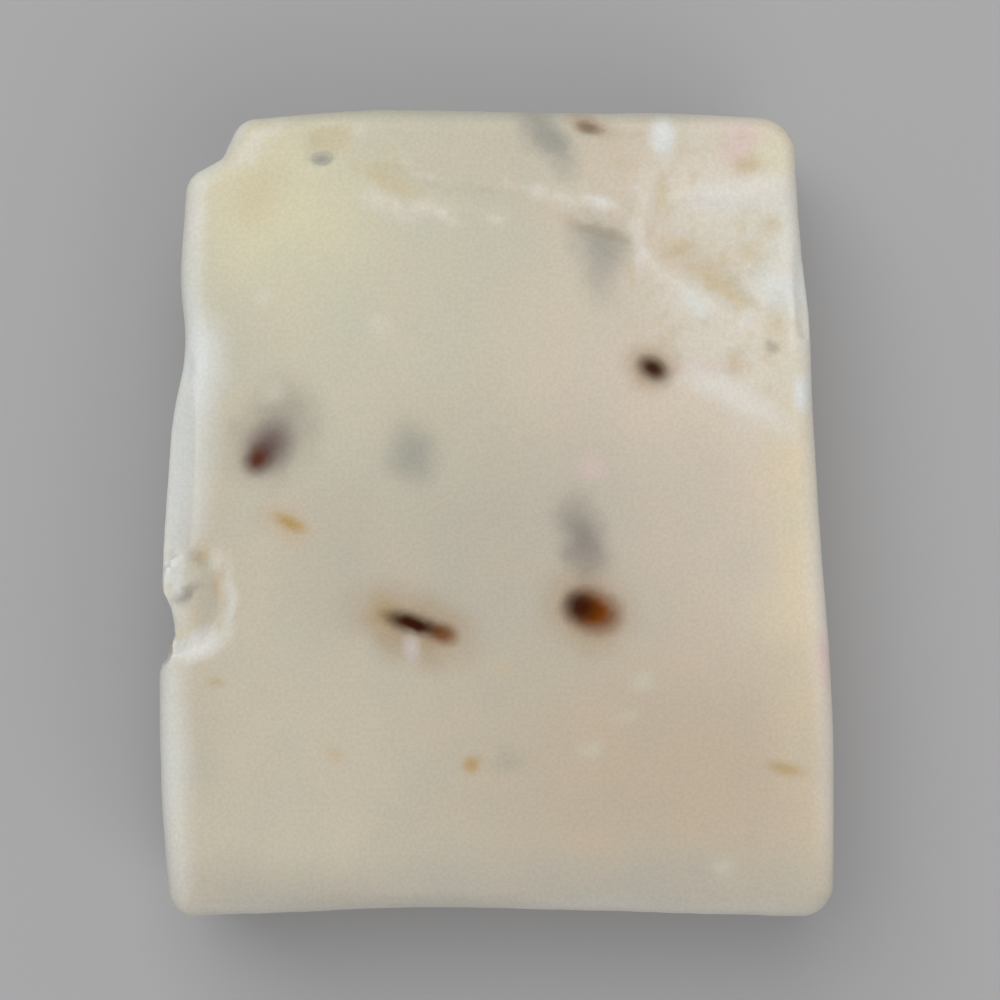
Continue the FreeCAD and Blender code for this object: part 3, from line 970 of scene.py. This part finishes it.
def material(name, paint, roughness, relief, soft_light, sheen):
    """A material of its own colour, with small relief and light that spreads under its surface."""
    made = bpy.data.materials.new(name)
    made.use_nodes = True
    tree = made.node_tree
    shader = tree.nodes["Principled BSDF"]
    coordinates = tree.nodes.new("ShaderNodeTexCoord")
    at = Wire(tree, coordinates.outputs["Object"])
    tree.links.new(paint(at).socket, shader.inputs["Base Color"])
    lumps = at.noise(*FINE_RELIEF) + at.noise(*COARSE_RELIEF) * COARSE_SHARE
    inputs = {"Strength": 1.0, "Distance": relief * MM, "Height": lumps}
    tree.links.new(at.node("ShaderNodeBump", {}, inputs).socket, shader.inputs["Normal"])
    least, most = roughness - ROUGHNESS_SWING, roughness + ROUGHNESS_SWING
    uneven = at.noise(*UNEVENNESS).ranged(MOST, least, most)
    tree.links.new(uneven.socket, shader.inputs["Roughness"])
    shader.inputs["Subsurface Weight"].default_value = soft_light
    shader.inputs["Subsurface Radius"].default_value = SOFT_LIGHT_SHARES
    shader.inputs["Subsurface Scale"].default_value = SOFT_LIGHT_DISTANCE * MM
    shader.inputs["Specular IOR Level"].default_value = sheen
    return made


def clouded(at):
    """Dark brown, mottled with a lighter one."""
    inputs = {0: at.noise(*CLOUD).ranged(MIDDLE), 6: tuple(UMBER), 7: tuple(RUST)}
    return at.node("ShaderNodeMix", {"data_type": "RGBA"}, inputs, 2)


def flat_material(name, tint):
    """A plain matt material."""
    made = bpy.data.materials.new(name)
    made.use_nodes = True
    shader = made.node_tree.nodes["Principled BSDF"]
    shader.inputs["Base Color"].default_value = tuple(tint)
    shader.inputs["Roughness"].default_value = MATT
    return made


SOAP = material("soap look", grained, roughness=0.5, relief=0.02, soft_light=0.7, sheen=0.15)
BARK = material("bark in soap", grained, roughness=0.6, relief=0.02, soft_light=0.0, sheen=0.02)
PALE_BIT = material(
    "pale bit in soap", grained, roughness=0.55, relief=0.02, soft_light=0.0, sheen=0.15
)
SUNK = material("sunk bark", clouded, roughness=0.7, relief=0.03, soft_light=0.0, sheen=0.2)

soap = bar_mesh(SOAP)
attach(soap, "root")
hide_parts("soap_bar")

# Random numbers for the bits: the first one's seed, from one to the next, and the rim's one
BIT_SEED = 50
BIT_SEED_STEP = 4
SIDE_BIT_SEED = 120

# How bits stand over the skin, in millimetres. The pale ones lie just under it, and the soap's own
# shade shows them
UNDER_SKIN = -0.04

# The bits: node, slot, X, Y, length, width, thickness, turn and lift
BITS = (
    ("bark_chip_right", "bark", 15.5, 14.4, 3.2, 2.1, 0.9, -28.0, 0.05),
    ("bark_chip_left", "bark", -23.6, 5.4, 3.2, 2.6, 1.0, 58.0, 0.03),
    ("bark_sliver", "bark", -7.7, -11.3, 6.6, 1.9, 0.9, -18.0, 0.05),
    ("bark_lump", "bark", 9.5, -9.5, 4.6, 3.8, 1.2, -12.0, 0.06),
    ("bark_chip_head", "bark", 9.4, 38.3, 3.0, 1.2, 0.6, -8.0, 0.02),
    ("peel_flake", "peel", -20.5, -1.0, 3.6, 1.8, 0.5, -28.0, UNDER_SKIN),
    ("peel_crumb", "peel", -2.6, -25.1, 1.8, 1.6, 0.6, 20.0, UNDER_SKIN),
    ("peel_strand", "peel", 28.3, -25.5, 4.0, 0.9, 0.4, -8.0, UNDER_SKIN),
    ("peel_speck", "peel", -27.8, -16.8, 1.6, 0.8, 0.4, -8.0, UNDER_SKIN),
    ("petal_head", "petal", 23.7, 36.6, 4.0, 2.5, 0.3, 68.0, UNDER_SKIN),
    ("petal_middle", "petal", 9.3, 4.6, 2.8, 2.0, 0.3, 15.0, UNDER_SKIN),
    ("pale_lump", "pale_soap", 16.8, 37.1, 3.4, 2.4, 0.8, 84.0, UNDER_SKIN),
    ("pale_speck", "pale_soap", -8.5, -13.3, 1.9, 1.4, 0.5, 85.0, UNDER_SKIN),
    ("seed", "seed", -17.3, 35.2, 2.4, 1.4, 0.6, 0.0, 0.03),
)
for k, (node, slot, x, y, length, width, thickness, turn, lift) in enumerate(BITS):
    place = on_face(x, y, turn)
    look = BARK if slot in ("bark", "seed") else PALE_BIT
    seed = BIT_SEED + BIT_SEED_STEP * k
    bit = bit_mesh(node + "_look", place, length, width, thickness, lift, seed, look)
    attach(bit, "root")
    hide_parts(node)

# The petal on the right rim: the height along the side, the angle over the rim, length, width and
# thickness
SIDE_BIT_PLACE = (-14.7, 58.0)
SIDE_BIT_SIZE = (4.2, 2.8, 0.3)
petal_side = bit_mesh(
    "petal_side_look", on_right_rim(*SIDE_BIT_PLACE), *SIDE_BIT_SIZE, UNDER_SKIN, SIDE_BIT_SEED,
    PALE_BIT,
)
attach(petal_side, "root")
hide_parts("petal_side")

for name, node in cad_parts.items():
    if name.startswith("sunk_bark"):
        node.data.materials.clear()
        node.data.materials.append(SUNK)

# A pale floor, in metres
FLOOR_HALF = 3.0
FLOOR_CORNERS = ((-1, -1), (1, -1), (1, 1), (-1, 1))
FLOOR_GREY = shade(168, 168, 170)
corners = [(x * FLOOR_HALF, y * FLOOR_HALF, 0.0) for x, y in FLOOR_CORNERS]
floor_mesh = bpy.data.meshes.new("floor")
floor_mesh.from_pydata(corners, [], [(0, 1, 2, 3)])
floor_mesh.materials.append(flat_material("floor", FLOOR_GREY))
floor = bpy.data.objects.new("floor", floor_mesh)
bpy.context.scene.collection.objects.link(floor)


def lamp(name, place, size, power, tint):
    """A square lamp at a place, aimed at the bar."""
    data = bpy.data.lights.new(name, "AREA")
    data.size = size
    data.energy = power
    data.color = tint
    made = bpy.data.objects.new(name, data)
    made.location = place
    made.rotation_euler = (Vector(AIM) - Vector(place)).to_track_quat("-Z", "Y").to_euler()
    bpy.context.scene.collection.objects.link(made)


# Lamps, in metres and watts: name, place, size, power and tint. The room lights the bar evenly too
AIM = (0.0, 0.0, 0.01)
LAMPS = (
    ("window", (-0.2, 0.4, 0.8), 0.8, 5.0, (1.0, 1.0, 1.0)),
    ("fill", (0.3, -0.45, 0.7), 0.8, 2.4, (1.0, 0.98, 0.95)),
)
ROOM_LIGHT = 0.38

for row in LAMPS:
    lamp(*row)

world = bpy.data.worlds.new("room")
world.use_nodes = True
world.node_tree.nodes["Background"].inputs["Color"].default_value = (1.0, 1.0, 1.0, 1.0)
world.node_tree.nodes["Background"].inputs["Strength"].default_value = ROOM_LIGHT
bpy.context.scene.world = world

# The camera looks straight down. Its sensor and lens are in millimetres, its place in metres
SENSOR = 36.0
LENS = 108.9
NEAREST = 0.01
CAMERA_PLACE = (0.00033, 0.00127, 0.324)
camera_data = bpy.data.cameras.new("camera")
camera_data.sensor_width = SENSOR
camera_data.lens = LENS
camera_data.clip_start = NEAREST
camera = bpy.data.objects.new("camera", camera_data)
camera.location = CAMERA_PLACE
bpy.context.scene.collection.objects.link(camera)
bpy.context.scene.camera = camera
bpy.context.scene.view_settings.view_transform = "Standard"
